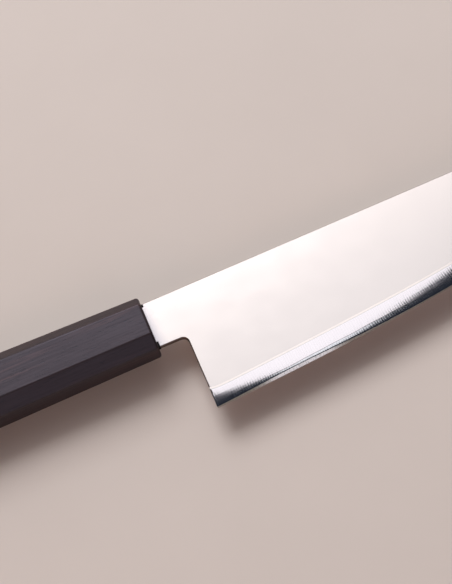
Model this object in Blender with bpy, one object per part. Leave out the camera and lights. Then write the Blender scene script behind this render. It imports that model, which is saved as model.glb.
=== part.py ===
"""Santoku kitchen knife: a laminated blade with a stick tang, set in a one-piece octagonal handle.

The knife lies on its side with the tip towards +X, the spine towards +Y and its right face up.
Every shape is made in the knife's own directions: the handle's front face is the plane X = 0, the
handle's axis is the X axis, and the blade's middle plane is Z = 0. An empty then carries all of
it, so that the origin lies under the middle of the whole knife.
"""

import math

import bmesh
import bpy
from mathutils import Vector

# Blade, seen from its side. Lengths run along the handle's axis, from the heel where none is named.
BLADE_LENGTH = 0.165
HEEL_HEIGHT = 0.0461
NECK_LENGTH = 0.0106
NECK_HEIGHT = 0.0175
CHOIL_RADIUS = 0.0023
SPINE_ABOVE_AXIS = 0.0087
SPINE_RISE = 0.0109
SPINE_STRAIGHT = 0.113
TIP_DROP = 0.0240
TIP_NOSE = 0.0006
EDGE_RISE = 0.0594
BELLY_POWER = 3.5

# Blade, through its thickness.
SPINE_AT_NECK = 0.0024
SPINE_AT_TIP = 0.0014
BACK_OF_BEVEL_AT_HEEL = 0.0017
BACK_OF_BEVEL_AT_TIP = 0.0011
CORE_THICKNESS = 0.0007
BEVEL_HEIGHT = 0.0067
BEVEL_SWELL = 0.0007
HEEL_FLARE = 0.0011
HEEL_FLARE_LENGTH = 0.0022
HEEL_FLARE_END = 0.0066
BEVEL_BULGE = 0.00007
MICRO_BEVEL_HEIGHT = 0.00045
MICRO_BEVEL_THICKNESS = 0.00028
EDGE_THICKNESS = 0.00010
EASED_CORNER = 0.00022

# Tang and the notches in front of it.
MACHI_GAP = 0.0007
MACHI_TOP = 0.0012
MACHI_BOTTOM = 0.0023
TANG_LENGTH = 0.095
TANG_END_HEIGHT = 0.0070
TANG_END_THICKNESS = 0.0016
TANG_END_BELOW_AXIS = 0.0002

# Handle: an octagon that grows towards the butt.
HANDLE_LENGTH = 0.133
HANDLE_FRONT_HEIGHT = 0.0206
HANDLE_FRONT_WIDTH = 0.0187
HANDLE_FRONT_FACET = 0.0044
HANDLE_BUTT_HEIGHT = 0.0243
HANDLE_BUTT_WIDTH = 0.0226
HANDLE_BUTT_FACET = 0.0051
HANDLE_FRONT_ROUND = 0.0011
HANDLE_BUTT_ROUND = 0.0016
HANDLE_EDGE_ROUND = 0.0003

# What holds the tang in the handle.
SEAL_DEPTH = 0.0030
SEAL_WALL = 0.0006
BED_WALL = 0.0010
BED_END = 0.0020
FIT_GAP = 0.0003

# How finely the curves are cut, and how far a cutter reaches past what it cuts.
STATION_STEP = 0.0045
SLOPE_STEP = 0.00005
HEEL_STATIONS = 7
HEEL_CROWDING = 1.5
BEVEL_ROWS = 5
CORE_ROWS = 2
SPINE_ARC_STEPS = 18
CORNER_STEPS = 8
STEEL_ROUND_STEPS = 2
WOOD_ROUND_STEPS = 4
REACH = 0.006

# What counts as an outer corner of the steel: an upright wall that meets a side lying flat, where
# the cladding is thick enough to be eased. Tilts are the upward part of a face's direction.
UPRIGHT_TILT = 0.3
FLAT_TILT = 0.9
THINNEST_EASED = 0.00033
HAIR = 0.00001

# Edges that turn by more than this many degrees stay crisp.
STEEL_CRISP = 30
WOOD_CRISP = 40

HEEL_X = NECK_LENGTH
TIP_X = NECK_LENGTH + BLADE_LENGTH
CORE_HALF = CORE_THICKNESS / 2
NECK_HALF = SPINE_AT_NECK / 2


def spine_line(x):
    """Height of the straight spine and its continuation, at a length from the handle."""
    return SPINE_ABOVE_AXIS + SPINE_RISE * x


NECK_TOP = spine_line(0)
NECK_BOTTOM = NECK_TOP - NECK_HEIGHT
TANG_TOP = NECK_TOP - MACHI_TOP
TANG_BOTTOM = NECK_BOTTOM + MACHI_BOTTOM


def edge_y(x):
    """Height of the cutting edge: a straight rise from the heel, and a belly that grows to the tip."""
    along = x - HEEL_X
    heel = spine_line(HEEL_X) - HEEL_HEIGHT
    tip = spine_line(TIP_X) - TIP_DROP - TIP_NOSE
    belly = tip - heel - EDGE_RISE * BLADE_LENGTH
    return heel + EDGE_RISE * along + belly * (max(along, 0) / BLADE_LENGTH) ** BELLY_POWER


def edge_slope(x):
    return (edge_y(x + SLOPE_STEP) - edge_y(x - SLOPE_STEP)) / (2 * SLOPE_STEP)


def spine_arc():
    """The drop from the straight spine to the tip: one circle that leaves the spine smoothly."""
    run = BLADE_LENGTH - SPINE_STRAIGHT
    radius = (run**2 + TIP_DROP**2) / (2 * TIP_DROP)
    sweep = math.asin(run / radius)
    points = []
    for step in range(SPINE_ARC_STEPS + 1):
        turn = sweep * step / SPINE_ARC_STEPS
        x = HEEL_X + SPINE_STRAIGHT + radius * math.sin(turn)
        points.append((x, spine_line(x) - radius * (1 - math.cos(turn))))
    return points


def choil_corner():
    """The round inner corner between the heel's back and the neck's underside."""
    points = []
    for step in range(CORNER_STEPS + 1):
        turn = math.pi / 2 * step / CORNER_STEPS
        x = HEEL_X - CHOIL_RADIUS + CHOIL_RADIUS * math.cos(turn)
        points.append((x, NECK_BOTTOM - CHOIL_RADIUS + CHOIL_RADIUS * math.sin(turn)))
    return points


def tang_end():
    """The tang's half-round end, from its underside to its top."""
    radius = TANG_END_HEIGHT / 2
    points = []
    for step in range(CORNER_STEPS + 1):
        turn = math.pi * (0.5 + step / CORNER_STEPS)
        x = radius - TANG_LENGTH + radius * math.cos(turn)
        points.append((x, -TANG_END_BELOW_AXIS + radius * math.sin(turn)))
    return points[::-1]


def blade_outline():
    """The smith's template, which cuts the ground bar everywhere but along the edge."""
    below_edge = edge_y(HEEL_X) - REACH
    points = [(HEEL_X, below_edge)]
    points += choil_corner()
    points += [(MACHI_GAP, NECK_BOTTOM), (MACHI_GAP, TANG_BOTTOM)]
    points += tang_end()
    points += [(MACHI_GAP, TANG_TOP), (MACHI_GAP, spine_line(MACHI_GAP))]
    points += spine_arc()
    points += [(TIP_X, below_edge)]
    return points


def blend(first, last, share):
    return first + (last - first) * share


def spine_half(x):
    """Half the blade's thickness along the spine, which thins both ways from the neck."""
    if x < 0:
        return blend(SPINE_AT_NECK, TANG_END_THICKNESS, -x / TANG_LENGTH) / 2
    return blend(SPINE_AT_NECK, SPINE_AT_TIP, x / TIP_X) / 2


def shoulder_half(x):
    """Half the thickness at the top of the bevel."""
    along = max(x - HEEL_X, 0)
    return blend(BACK_OF_BEVEL_AT_HEEL, BACK_OF_BEVEL_AT_TIP, along / BLADE_LENGTH) / 2


def bevel_height(x):
    """Height of the bevel above the edge: fuller in mid-blade, and flared where it meets the heel."""
    along = min(max(x - HEEL_X, 0), BLADE_LENGTH)
    swell = BEVEL_SWELL * math.sin(math.pi * along / BLADE_LENGTH)
    return BEVEL_HEIGHT + swell + HEEL_FLARE * math.exp(-along / HEEL_FLARE_LENGTH)


def bevel_half(x, share):
    """Half the thickness part of the way up the bevel, which bulges most half-way."""
    straight = blend(MICRO_BEVEL_THICKNESS / 2, shoulder_half(x), share)
    return straight + 4 * BEVEL_BULGE * share * (1 - share)


def core_share(x):
    """How far up the bevel the core steel ends: where bevel_half, a parabola, equals CORE_HALF."""
    rise = CORE_HALF - MICRO_BEVEL_THICKNESS / 2
    grow = shoulder_half(x) - MICRO_BEVEL_THICKNESS / 2 + 4 * BEVEL_BULGE
    return 2 * rise / (grow + math.sqrt(grow**2 - 16 * BEVEL_BULGE * rise))


def bar_top(x):
    """(height, half thickness) where the flat side ends, a little above the straight spine."""
    slope = edge_slope(x)
    lean = 1 / math.sqrt(1 + slope**2)
    spine = (spine_line(x) - edge_y(x)) / (lean + SPINE_RISE * slope * lean)
    height = bevel_height(x)
    top = spine + REACH
    flat_share = (top - height) / (spine - height)
    return top, blend(shoulder_half(x), spine_half(x), flat_share)


def bevel_point(x, share):
    height = blend(MICRO_BEVEL_HEIGHT, bevel_height(x), share)
    return height, bevel_half(x, share)


def core_section(x):
    """One side of the core steel, from the edge up: (height above the edge, half thickness)."""
    side = [(0, EDGE_THICKNESS / 2), (MICRO_BEVEL_HEIGHT, MICRO_BEVEL_THICKNESS / 2)]
    for row in range(1, CORE_ROWS):
        side.append(bevel_point(x, core_share(x) * row / CORE_ROWS))
    side += [(bevel_point(x, core_share(x))[0], CORE_HALF), (bar_top(x)[0], CORE_HALF)]
    return side + [(height, -half) for height, half in reversed(side)]


def cladding_section(x):
    """The right cladding all round: up its outer side, and down the weld to the core."""
    start = core_share(x)
    outer = [(bevel_point(x, start)[0], CORE_HALF)]
    for row in range(1, BEVEL_ROWS + 1):
        outer.append(bevel_point(x, blend(start, 1, row / BEVEL_ROWS)))
    top, half = bar_top(x)
    return outer + [(top, half), (top, CORE_HALF)]


def stations():
    """Lengths at which the bar is measured: close together at the heel, even along the edge."""
    places = [-TANG_LENGTH - REACH, -TANG_LENGTH / 2, 0, HEEL_X - CHOIL_RADIUS]
    for step in range(HEEL_STATIONS):
        places.append(HEEL_X + HEEL_FLARE_END * (step / HEEL_STATIONS) ** HEEL_CROWDING)
    start = HEEL_X + HEEL_FLARE_END
    reach = TIP_X + 2 * REACH - start
    count = round(reach / STATION_STEP)
    for step in range(count + 1):
        places.append(start + reach * step / count)
    return places


def new_object(name, mesh_maker):
    """A mesh object from closed rings or prisms, with its faces turned out."""
    shape = bmesh.new()
    mesh_maker(shape)
    bmesh.ops.recalc_face_normals(shape, faces=shape.faces)
    mesh = bpy.data.meshes.new(name)
    shape.to_mesh(mesh)
    shape.free()
    obj = bpy.data.objects.new(name, mesh)
    bpy.context.collection.objects.link(obj)
    return obj


def skin_rings(shape, rings):
    """Joins rings of equally many points into one closed skin with flat ends."""
    made = [[shape.verts.new(point) for point in ring] for ring in rings]
    for ring, following in zip(made, made[1:]):
        for index in range(len(ring)):
            after = (index + 1) % len(ring)
            shape.faces.new((ring[index], ring[after], following[after], following[index]))
    shape.faces.new(made[0])
    shape.faces.new(made[-1])


def ground_bar(name, section):
    """A bar lofted along the edge, each section standing square to it."""

    def loft(shape):
        rings = []
        for x in stations():
            slope = edge_slope(x)
            up = Vector((-slope, 1, 0)).normalized()
            foot = Vector((x, edge_y(x), 0))
            rings.append([foot + up * height + Vector((0, 0, half)) for height, half in section(x)])
        skin_rings(shape, rings)

    return new_object(name, loft)


def box(name, low, high):
    """A plain block between two corners."""

    def block(shape):
        ends = []
        for x in (low[0], high[0]):
            corners = [(low[1], low[2]), (high[1], low[2]), (high[1], high[2]), (low[1], high[2])]
            ends.append([(x, y, z) for y, z in corners])
        skin_rings(shape, ends)

    return new_object(name, block)


def as_cutter(obj):
    obj.hide_render = True
    obj.display_type = "WIRE"
    return obj


def combine(obj, other, operation):
    """Adds an exact Boolean that cuts or joins with a helper."""
    modifier = obj.modifiers.new(f"{operation.lower()} {other.name}", "BOOLEAN")
    modifier.operation = operation
    modifier.object = as_cutter(other)


def bake_modifiers(obj):
    """Turns the modifiers into plain mesh, so that edges can be picked from it."""
    graph = bpy.context.evaluated_depsgraph_get()
    before = obj.data
    obj.data = bpy.data.meshes.new_from_object(obj.evaluated_get(graph))
    obj.data.name = obj.name
    obj.modifiers.clear()
    bpy.data.meshes.remove(before)


def round_edges(obj, width_of, segments):
    """Adds one Bevel whose width on each edge is what width_of gives for it."""
    shape = bmesh.new()
    shape.from_mesh(obj.data)
    shape.edges.ensure_lookup_table()
    widths = [width_of(edge) for edge in shape.edges]
    widest = max(widths)
    layer = shape.edges.layers.float.new("bevel_weight_edge")
    for edge, width in zip(shape.edges, widths):
        edge[layer] = width / widest
    shape.to_mesh(obj.data)
    shape.free()
    modifier = obj.modifiers.new("rounded edges", "BEVEL")
    modifier.limit_method = "WEIGHT"
    modifier.width = widest
    modifier.segments = segments
    modifier.use_clamp_overlap = False
    modifier.loop_slide = False


def drop(obj):
    mesh = obj.data
    bpy.data.objects.remove(obj)
    bpy.data.meshes.remove(mesh)


def smooth(obj, crisp):
    obj.data.shade_smooth()
    obj.data.set_sharp_from_angle(angle=math.radians(crisp))


def eased_corner(edge):
    """Width for a cladding's outer corners, which a smith rubs smooth from the spine to the heel."""
    faces = edge.link_faces
    if len(faces) != 2:
        return 0
    tilts = sorted(abs(face.normal.z) for face in faces)
    ahead = max(vert.co.x for vert in edge.verts) > MACHI_GAP + HAIR
    thickness = min(abs(vert.co.z) for vert in edge.verts) - CORE_HALF
    on_corner = tilts[0] < UPRIGHT_TILT and tilts[1] > FLAT_TILT
    if on_corner and ahead and thickness > THINNEST_EASED:
        return EASED_CORNER
    return 0


def mirrored(obj, name):
    """A copy on the other side of the blade, with its faces still turned out."""
    twin = bpy.data.objects.new(name, obj.data.copy())
    bpy.context.collection.objects.link(twin)
    for vert in twin.data.vertices:
        vert.co.z = -vert.co.z
    twin.data.flip_normals()
    return twin


def make_blade():
    """Core steel between two claddings: each is its own bar, trimmed to the one outline."""
    outline = blade_outline()
    depth = max(SPINE_AT_NECK, BACK_OF_BEVEL_AT_HEEL) + REACH

    def prism(shape):
        skin_rings(shape, [[(x, y, z) for x, y in outline] for z in (-depth, depth)])

    template = new_object("blade_template", prism)
    core = ground_bar("blade_core", core_section)
    right = ground_bar("blade_cladding_right", cladding_section)
    for layer in (core, right):
        combine(layer, template, "INTERSECT")
        bake_modifiers(layer)
    drop(template)
    left = mirrored(right, "blade_cladding_left")
    for layer in (right, left):
        round_edges(layer, eased_corner, STEEL_ROUND_STEPS)
    for layer in (core, right, left):
        smooth(layer, STEEL_CRISP)
    return core, right, left


def octagon(x, height, width, facet):
    """The handle's section at one length, with its eight corners."""
    high, wide = height / 2, width / 2
    corners = [(high, wide - facet), (high - facet, wide)]
    points = []
    for up, out in ((1, 1), (-1, 1), (-1, -1), (1, -1)):
        ordered = corners if up * out > 0 else corners[::-1]
        points += [(x, up * y, out * z) for y, z in ordered]
    return points


def handle_edge(edge):
    """Width for each of the handle's edges, by where it lies."""
    ends = [vert.co.x for vert in edge.verts]
    if min(ends) > -HANDLE_LENGTH / 2:
        return HANDLE_FRONT_ROUND
    if max(ends) < -HANDLE_LENGTH / 2:
        return HANDLE_BUTT_ROUND
    return HANDLE_EDGE_ROUND


def bed_size():
    """(half height, half width, middle height) of the bore that the tang's bed fills."""
    half_height = (TANG_TOP - TANG_BOTTOM) / 2 + FIT_GAP + BED_WALL
    half_width = NECK_HALF + FIT_GAP + BED_WALL
    return half_height, half_width, (TANG_TOP + TANG_BOTTOM) / 2


def bed_end():
    return -TANG_LENGTH - FIT_GAP - BED_END


def make_handle():
    """The octagonal handle, with a narrow mouth for the seal and a wider bore behind it."""

    def loft(shape):
        front = octagon(0, HANDLE_FRONT_HEIGHT, HANDLE_FRONT_WIDTH, HANDLE_FRONT_FACET)
        butt = octagon(-HANDLE_LENGTH, HANDLE_BUTT_HEIGHT, HANDLE_BUTT_WIDTH, HANDLE_BUTT_FACET)
        skin_rings(shape, [front, butt])

    handle = new_object("handle", loft)
    round_edges(handle, handle_edge, WOOD_ROUND_STEPS)
    mouth_half = NECK_HALF + FIT_GAP + SEAL_WALL
    mouth_low = (-SEAL_DEPTH - FIT_GAP, NECK_BOTTOM, -mouth_half)
    mouth = box("mouth_cutter", mouth_low, (REACH, NECK_TOP, mouth_half))
    half_height, half_width, middle = bed_size()
    bore_low = (bed_end(), middle - half_height, -half_width)
    bore = box("bore_cutter", bore_low, (-SEAL_DEPTH, middle + half_height, half_width))
    combine(handle, mouth, "DIFFERENCE")
    combine(handle, bore, "DIFFERENCE")
    smooth(handle, WOOD_CRISP)
    return handle


def tang_room(name, front):
    """A tapered plug that is one gap larger than the tang all round, to leave room for it."""

    def loft(shape):
        rings = []
        sizes = (
            (front, TANG_BOTTOM, TANG_TOP, NECK_HALF),
            (
                -TANG_LENGTH - FIT_GAP,
                -TANG_END_BELOW_AXIS - TANG_END_HEIGHT / 2,
                -TANG_END_BELOW_AXIS + TANG_END_HEIGHT / 2,
                TANG_END_THICKNESS / 2,
            ),
        )
        for x, low, high, half in sizes:
            corners = [(low, -half), (high, -half), (high, half), (low, half)]
            middle = (low + high) / 2
            ring = []
            for y, z in corners:
                out = math.copysign(FIT_GAP, y - middle)
                ring.append((x, y + out, z + math.copysign(FIT_GAP, z)))
            rings.append(ring)
        skin_rings(shape, rings)

    return new_object(name, loft)


def make_bed():
    """The set resin round the tang, from behind the seal to the bottom of the bore."""
    half_height, half_width, middle = bed_size()
    low = (bed_end(), middle - half_height, -half_width)
    bed = box("tang_bed", low, (-SEAL_DEPTH, middle + half_height, half_width))
    combine(bed, tang_room("bed_cutter", 0), "DIFFERENCE")
    return bed


def make_seal():
    """The black seal in the mouth, whose two tabs fill the notches in front of the handle."""
    mouth_half = NECK_HALF + FIT_GAP + SEAL_WALL
    seal = box("mouth_seal", (-SEAL_DEPTH, NECK_BOTTOM, -mouth_half), (0, NECK_TOP, mouth_half))
    tab_low = (-SEAL_DEPTH / 2, NECK_BOTTOM, -NECK_HALF)
    tabs = box("tab_joiner", tab_low, (MACHI_GAP, NECK_TOP, NECK_HALF))
    combine(seal, tabs, "UNION")
    room_half = NECK_HALF + FIT_GAP
    room_low = (-SEAL_DEPTH - REACH, TANG_BOTTOM - FIT_GAP, -room_half)
    room = box("seal_cutter", room_low, (REACH, TANG_TOP + FIT_GAP, room_half))
    combine(seal, room, "DIFFERENCE")
    return seal


def linear(hex_colour):
    """Linear red, green, blue and alpha from an sRGB hex colour."""
    channels = [int(hex_colour[start : start + 2], 16) / 255 for start in (0, 2, 4)]
    return [((c + 0.055) / 1.055) ** 2.4 if c > 0.04045 else c / 12.92 for c in channels] + [1]


def paint(obj, name, hex_colour, roughness, metallic=0):
    """Gives an object its own Principled material."""
    material = bpy.data.materials.new(name)
    material.use_nodes = True
    shader = material.node_tree.nodes["Principled BSDF"]
    shader.inputs["Base Color"].default_value = linear(hex_colour)
    shader.inputs["Roughness"].default_value = roughness
    shader.inputs["Metallic"].default_value = metallic
    material.diffuse_color = linear(hex_colour)
    obj.data.materials.clear()
    obj.data.materials.append(material)


def stand_on_floor(pieces):
    """Carries everything on one empty, with the origin under the middle of the knife."""
    knife = bpy.data.objects.new("santoku_knife", None)
    bpy.context.view_layer.update()
    graph = bpy.context.evaluated_depsgraph_get()
    corners = []
    for piece in pieces:
        corners += [Vector(corner) for corner in piece.evaluated_get(graph).bound_box]
    low = Vector([min(corner[axis] for corner in corners) for axis in range(3)])
    high = Vector([max(corner[axis] for corner in corners) for axis in range(3)])
    for obj in bpy.data.objects:
        if obj.type == "MESH":
            obj.parent = knife
    bpy.context.collection.objects.link(knife)
    knife.location = (-(low.x + high.x) / 2, -(low.y + high.y) / 2, -low.z)


def main():
    for obj in list(bpy.data.objects):
        bpy.data.objects.remove(obj, do_unlink=True)
    core, right, left = make_blade()
    handle = make_handle()
    bed = make_bed()
    seal = make_seal()
    paint(core, "hard_core_steel", "B9B6B8", 0.22, 1)
    paint(right, "polished_cladding_right", "E6E0DE", 0.18, 1)
    paint(left, "polished_cladding_left", "E6E0DE", 0.18, 1)
    paint(handle, "ebony", "2B2628", 0.42)
    paint(bed, "set_resin", "B08A4E", 0.5)
    paint(seal, "black_seal", "121011", 0.45)
    stand_on_floor([core, right, left, handle, bed, seal])


main()
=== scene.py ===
"""Looks of a santoku kitchen knife: ground and polished steel, oiled ebony, and a plain pale studio.

The steel and the wood are modelled again from their real sizes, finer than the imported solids, and
stand in their place. Shapes are made in the knife's own directions: the handle's front face is the
plane X = 0, the handle's axis is the X axis, and the blade's middle plane is Z = 0.
"""

import math

import bmesh
import bpy
from mathutils import Matrix, Vector


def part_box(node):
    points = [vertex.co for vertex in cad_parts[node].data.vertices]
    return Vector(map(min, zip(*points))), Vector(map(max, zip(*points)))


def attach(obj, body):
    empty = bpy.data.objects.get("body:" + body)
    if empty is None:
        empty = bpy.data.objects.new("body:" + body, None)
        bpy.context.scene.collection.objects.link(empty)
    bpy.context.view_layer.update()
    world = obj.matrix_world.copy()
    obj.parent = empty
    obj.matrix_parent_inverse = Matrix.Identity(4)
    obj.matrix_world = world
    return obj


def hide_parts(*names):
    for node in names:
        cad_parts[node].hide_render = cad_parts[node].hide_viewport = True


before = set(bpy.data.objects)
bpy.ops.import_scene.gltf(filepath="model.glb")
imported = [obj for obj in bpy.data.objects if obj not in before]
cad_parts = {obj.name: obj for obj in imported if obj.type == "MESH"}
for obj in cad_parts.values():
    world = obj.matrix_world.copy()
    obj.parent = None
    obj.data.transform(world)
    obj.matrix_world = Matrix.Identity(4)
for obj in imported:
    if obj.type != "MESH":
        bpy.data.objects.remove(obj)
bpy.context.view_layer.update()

bl_info = {
    "name": "Santoku Knife",
    "version": (1, 0, 0),
    "blender": (4, 5, 0),
    "location": "3D View > Sidebar > Knife",
    "description": "Builds a santoku knife's steel, wood and studio round its packed solids",
    "category": "Add Mesh",
}

BODY = "root"
MM = 0.001
SHEET = "ground_sheet"
# How far a bar or a cutter runs on past what trims it or what it cuts
REACH = 0.006


def knife_place():
    """Where the handle's axis meets its front face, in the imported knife's frame."""
    low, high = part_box("handle")
    return Vector((high.x, (low.y + high.y) / 2, (low.z + high.z) / 2))


def own_box(node):
    """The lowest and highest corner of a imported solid, in the knife's own directions."""
    low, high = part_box(node)
    return low - PLACE, high - PLACE


PLACE = knife_place()
CORE_LOW, CORE_HIGH = own_box("blade_core")
CLADDING_HIGH = own_box("blade_cladding_right")[1]
HANDLE_LOW, HANDLE_HIGH = own_box("handle")


def linear(hex_colour):
    """Linear red, green, blue and alpha from an sRGB hex colour."""
    channels = [int(hex_colour[start : start + 2], 16) / 255 for start in (0, 2, 4)]
    return [((c + 0.055) / 1.055) ** 2.4 if c > 0.04045 else c / 12.92 for c in channels] + [1]


def length(name, description, metres):
    return bpy.props.FloatProperty(
        name=name, description=description, default=metres, min=0, precision=6, unit="LENGTH"
    )


def colour(name, description, hex_colour):
    return bpy.props.FloatVectorProperty(
        name=name,
        description=description,
        default=linear(hex_colour),
        size=4,
        min=0,
        max=1,
        subtype="COLOR",
    )


def share(name, description, value, most=1):
    return bpy.props.FloatProperty(
        name=name, description=description, default=value, min=0, max=most, precision=4
    )


def place(name, description, metres):
    return bpy.props.FloatVectorProperty(
        name=name, description=description, default=metres, subtype="TRANSLATION", unit="LENGTH"
    )


def angle(name, description, degrees):
    return bpy.props.FloatProperty(
        name=name, description=description, default=math.radians(degrees), subtype="ANGLE"
    )


class BladeSizes(bpy.types.PropertyGroup):
    """Sizes and colours of the laminated blade"""

    neck_length: length("Neck length", "From the handle's front face to the heel", 0.0106)
    neck_height: length("Neck height", "Height of the steel where it leaves the handle", 0.0175)
    tip_reach: length("Tip reach", "From the handle's front face to the tip", CORE_HIGH.x)
    heel_drop: length("Heel drop", "How far the heel lies below the handle's axis", -CORE_LOW.y)
    choil_radius: length("Choil radius", "Round corner between the heel and the neck", 0.0023)
    spine_above_axis: length("Spine above axis", "Height of the spine over the axis", 0.0087)
    spine_rise: share("Spine rise", "Slope of the straight spine against the axis", 0.0109)
    spine_straight: length("Straight spine", "From the heel to where the spine drops", 0.113)
    tip_drop: length("Tip drop", "How far the spine falls to the tip", 0.0240)
    tip_nose: length("Tip nose", "Height of the blunted point", 0.0006)
    edge_rise: share("Edge rise", "Slope of the edge near the heel", 0.0594)
    belly_power: share("Belly power", "How late the edge sweeps up to the tip", 3.5, 8)
    spine_at_neck: length("Spine at the neck", "Thickness of the spine", 2 * CLADDING_HIGH.z)
    spine_at_tip: length("Spine at the tip", "Thickness of the spine", 0.0014)
    bevel_back_at_heel: length("Bevel back at the heel", "Thickness over the bevel", 0.0017)
    bevel_back_at_tip: length("Bevel back at the tip", "Thickness over the bevel", 0.0011)
    core_thickness: length("Core", "Thickness of the hard steel", CORE_HIGH.z - CORE_LOW.z)
    weld_wander: share("Weld wander", "How unevenly forging leaves the core's thickness", 0.07)
    bevel_height: length("Bevel height", "Height of the ground bevel over the edge", 0.0067)
    bevel_swell: length("Bevel swell", "How much higher the bevel is in mid-blade", 0.0007)
    heel_flare: length("Heel flare", "How much higher the bevel is at the heel", 0.0011)
    heel_flare_length: length("Heel flare length", "How far that reaches", 0.0022)
    bevel_bulge: length("Bevel bulge", "How far the bevel bulges out of a flat one", 0.00007)
    shoulder_softness: length("Shoulder softness", "Width of the bevel's rubbed top", 0.0007)
    line_height: length("Line height", "Height of the grey lines at the weld and the shoulder", 0.00018)
    micro_bevel_height: length("Micro-bevel height", "Height of the honed edge", 0.00045)
    micro_bevel_back: length("Micro-bevel back", "Thickness over the honed edge", 0.00028)
    hone_swell: length("Hone swell", "How much higher it is where the hone pressed hardest", 0.0007)
    hone_middle: length("Hone middle", "From the heel to that place", 0.033)
    hone_reach: length("Hone reach", "How far the swell reaches each way", 0.021)
    hone_feather: length("Hone feather", "How far its upper border is rounded in", 0.000014)
    edge_thickness: length("Edge thickness", "What the hone leaves", 0.00010)
    eased_corner: length("Eased corner", "Rounding of the neck and the heel", 0.00042)
    eased_spine: length("Eased spine", "Rounding of the spine", 0.00015)
    most_eased: share("Most eased", "How much of the cladding's wall the rounding may take", 0.6)
    machi_gap: length("Notch gap", "From the handle to the blade's shoulders", 0.0007)
    machi_top: length("Top notch", "From the spine down to the tang", 0.0012)
    machi_bottom: length("Bottom notch", "From the neck's underside up to the tang", 0.0023)
    tang_length: length("Tang length", "How deep the tang goes into the handle", -CORE_LOW.x)
    tang_end_height: length("Tang end height", "Height of the tang's end", 0.0070)
    tang_end_thickness: length("Tang end thickness", "Thickness of the tang's end", 0.0016)
    tang_end_drop: length("Tang end drop", "How far the tang's end lies below the axis", 0.0002)
    station_step: length("Station step", "Spacing of the sections along the blade", 0.0012)
    flat_colour: colour("Polished flat", "The cladding's polished side", "E0D8D7")
    # Painted shade: the flat by the handle is coloured duller and cooler, for the handle's dark face
    # mirrored in it
    neck_shade_colour: colour("Neck", "The cladding by the handle, which the wheel can't reach", "B4B1BD")
    bevel_colour: colour("Ground bevel", "The cladding where a stone has cut it", "F8F1F6")
    shoulder_colour: colour("Rubbed shoulder", "The bevel's top, rubbed on a soft wheel", "F8EEEB")
    weld_colour: colour("Weld line", "Where the weld shows on the bevel", "A8A0A2")
    stop_colour: colour("Stop line", "Where the stone stopped, under the rubbed shoulder", "E6DFDD")
    core_colour: colour("Core steel", "The hard steel, a little greyer than its cladding", "ECECF2")
    hone_colour: colour("Honed edge", "The hard steel's last, finest face", "C8BAAE")
    pressed_colour: colour("Pressed edge", "That face where the hone pressed hardest", "F8F4F8")
    # Painted reflection: the outline's dark brown stands for the shadowed floor that its walls mirror
    outline_shade_colour: colour("Filed outline", "The spine, the neck's underside and the heel's back", "74625A")


class HandleSizes(bpy.types.PropertyGroup):
    """Sizes and colours of the octagonal handle and of what seals it"""

    handle_length: length("Length", "From the front face to the butt", HANDLE_HIGH.x - HANDLE_LOW.x)
    front_height: length("Front height", "Height of the front face", 0.0206)
    front_width: length("Front width", "Width of the front face", 0.0187)
    front_facet: length("Front facet", "How far each corner is cut back", 0.0044)
    butt_height: length("Butt height", "Height of the butt", HANDLE_HIGH.y - HANDLE_LOW.y)
    butt_width: length("Butt width", "Width of the butt", HANDLE_HIGH.z - HANDLE_LOW.z)
    butt_facet: length("Butt facet", "How far each corner is cut back", 0.0051)
    front_round: length("Front rounding", "Rounding of the front face's rim", 0.0011)
    butt_round: length("Butt rounding", "Rounding of the butt's rim", 0.0016)
    edge_round: length("Edge rounding", "Rounding of the eight long edges", 0.0005)
    wood_colour: colour("Ebony", "The wood's ground tone", "261816")
    streak_colour: colour("Streaks", "The paler, redder streaks", "40261F")
    pore_colour: colour("Pores", "The open pores", "0C0706")
    sheen_colour: colour("Sheen", "The tint of the oiled surface's shine", "E6E2FA")
    seal_colour: colour("Seal", "The black resin in the handle's mouth", "141213")
    bed_colour: colour("Bed", "The set resin round the tang", "B08A4E")


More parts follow.
